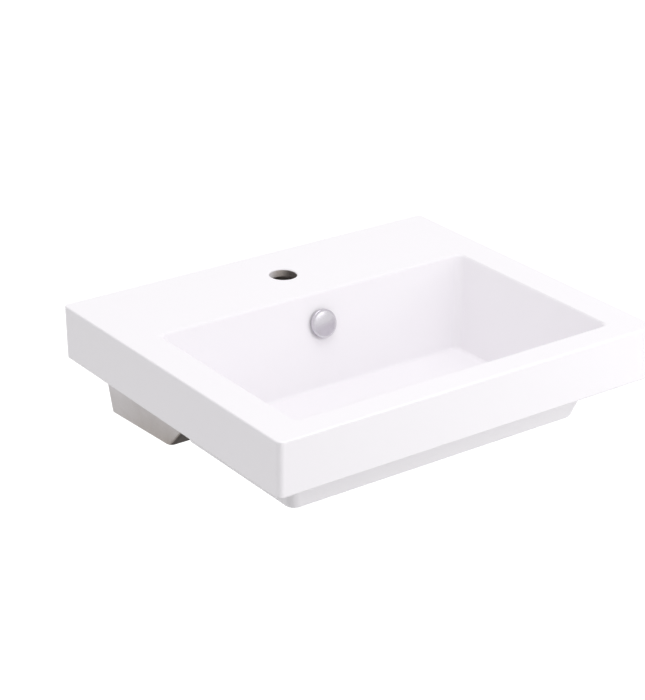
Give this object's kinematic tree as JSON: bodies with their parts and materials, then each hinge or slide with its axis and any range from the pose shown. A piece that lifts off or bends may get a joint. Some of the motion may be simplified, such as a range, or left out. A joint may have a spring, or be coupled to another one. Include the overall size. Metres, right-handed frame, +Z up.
{
  "type": "wall-hung basin",
  "caption": "Wall-hung rectangular ceramic basin with a tap deck, overflow cap, push-to-open waste and wall fixings.",
  "frame": {"origin": "on the wall plane, midway between the two fixing bolts", "axes": "+X to the basin's right seen from the room, +Y into the wall, +Z up"},
  "size_m": [0.55, 0.52, 0.183],
  "materials": {
    "glaze": "gloss",
    "chrome": "polished",
    "steel": "satin",
    "zinc": "zinc plated",
    "brass": "machined",
    "rubber": "matte",
    "white_plastic": "satin",
    "grey_plastic": "satin"
  },
  "bodies": {
    "basin": {"basin_body": "glaze", "overflow_cap": "chrome", "overflow_insert": "grey_plastic", "waste_body": "chrome", "waste_gasket": "rubber", "cone_washer": "rubber", "slip_washer": "white_plastic", "back_nut": "brass", "cartridge_housing": "white_plastic", "cartridge_end": "grey_plastic", "cartridge_spring": "steel", "hanger_bolt_left": "zinc", "hanger_bolt_right": "zinc", "fixing_sleeve_left": "white_plastic", "fixing_sleeve_right": "white_plastic", "fixing_washer_left": "zinc", "fixing_washer_right": "zinc", "fixing_nut_left": "zinc", "fixing_nut_right": "zinc"},
    "plug": {"plug_cap": "chrome", "plug_seal": "rubber", "plunger": "white_plastic"}
  },
  "joints": [
    {"name": "plug_slide", "type": "slide", "parent": "basin", "child": "plug", "axis": [0, 0, 1], "range_m": [0, 0.008], "deforming": ["cartridge_spring"]}
  ]
}
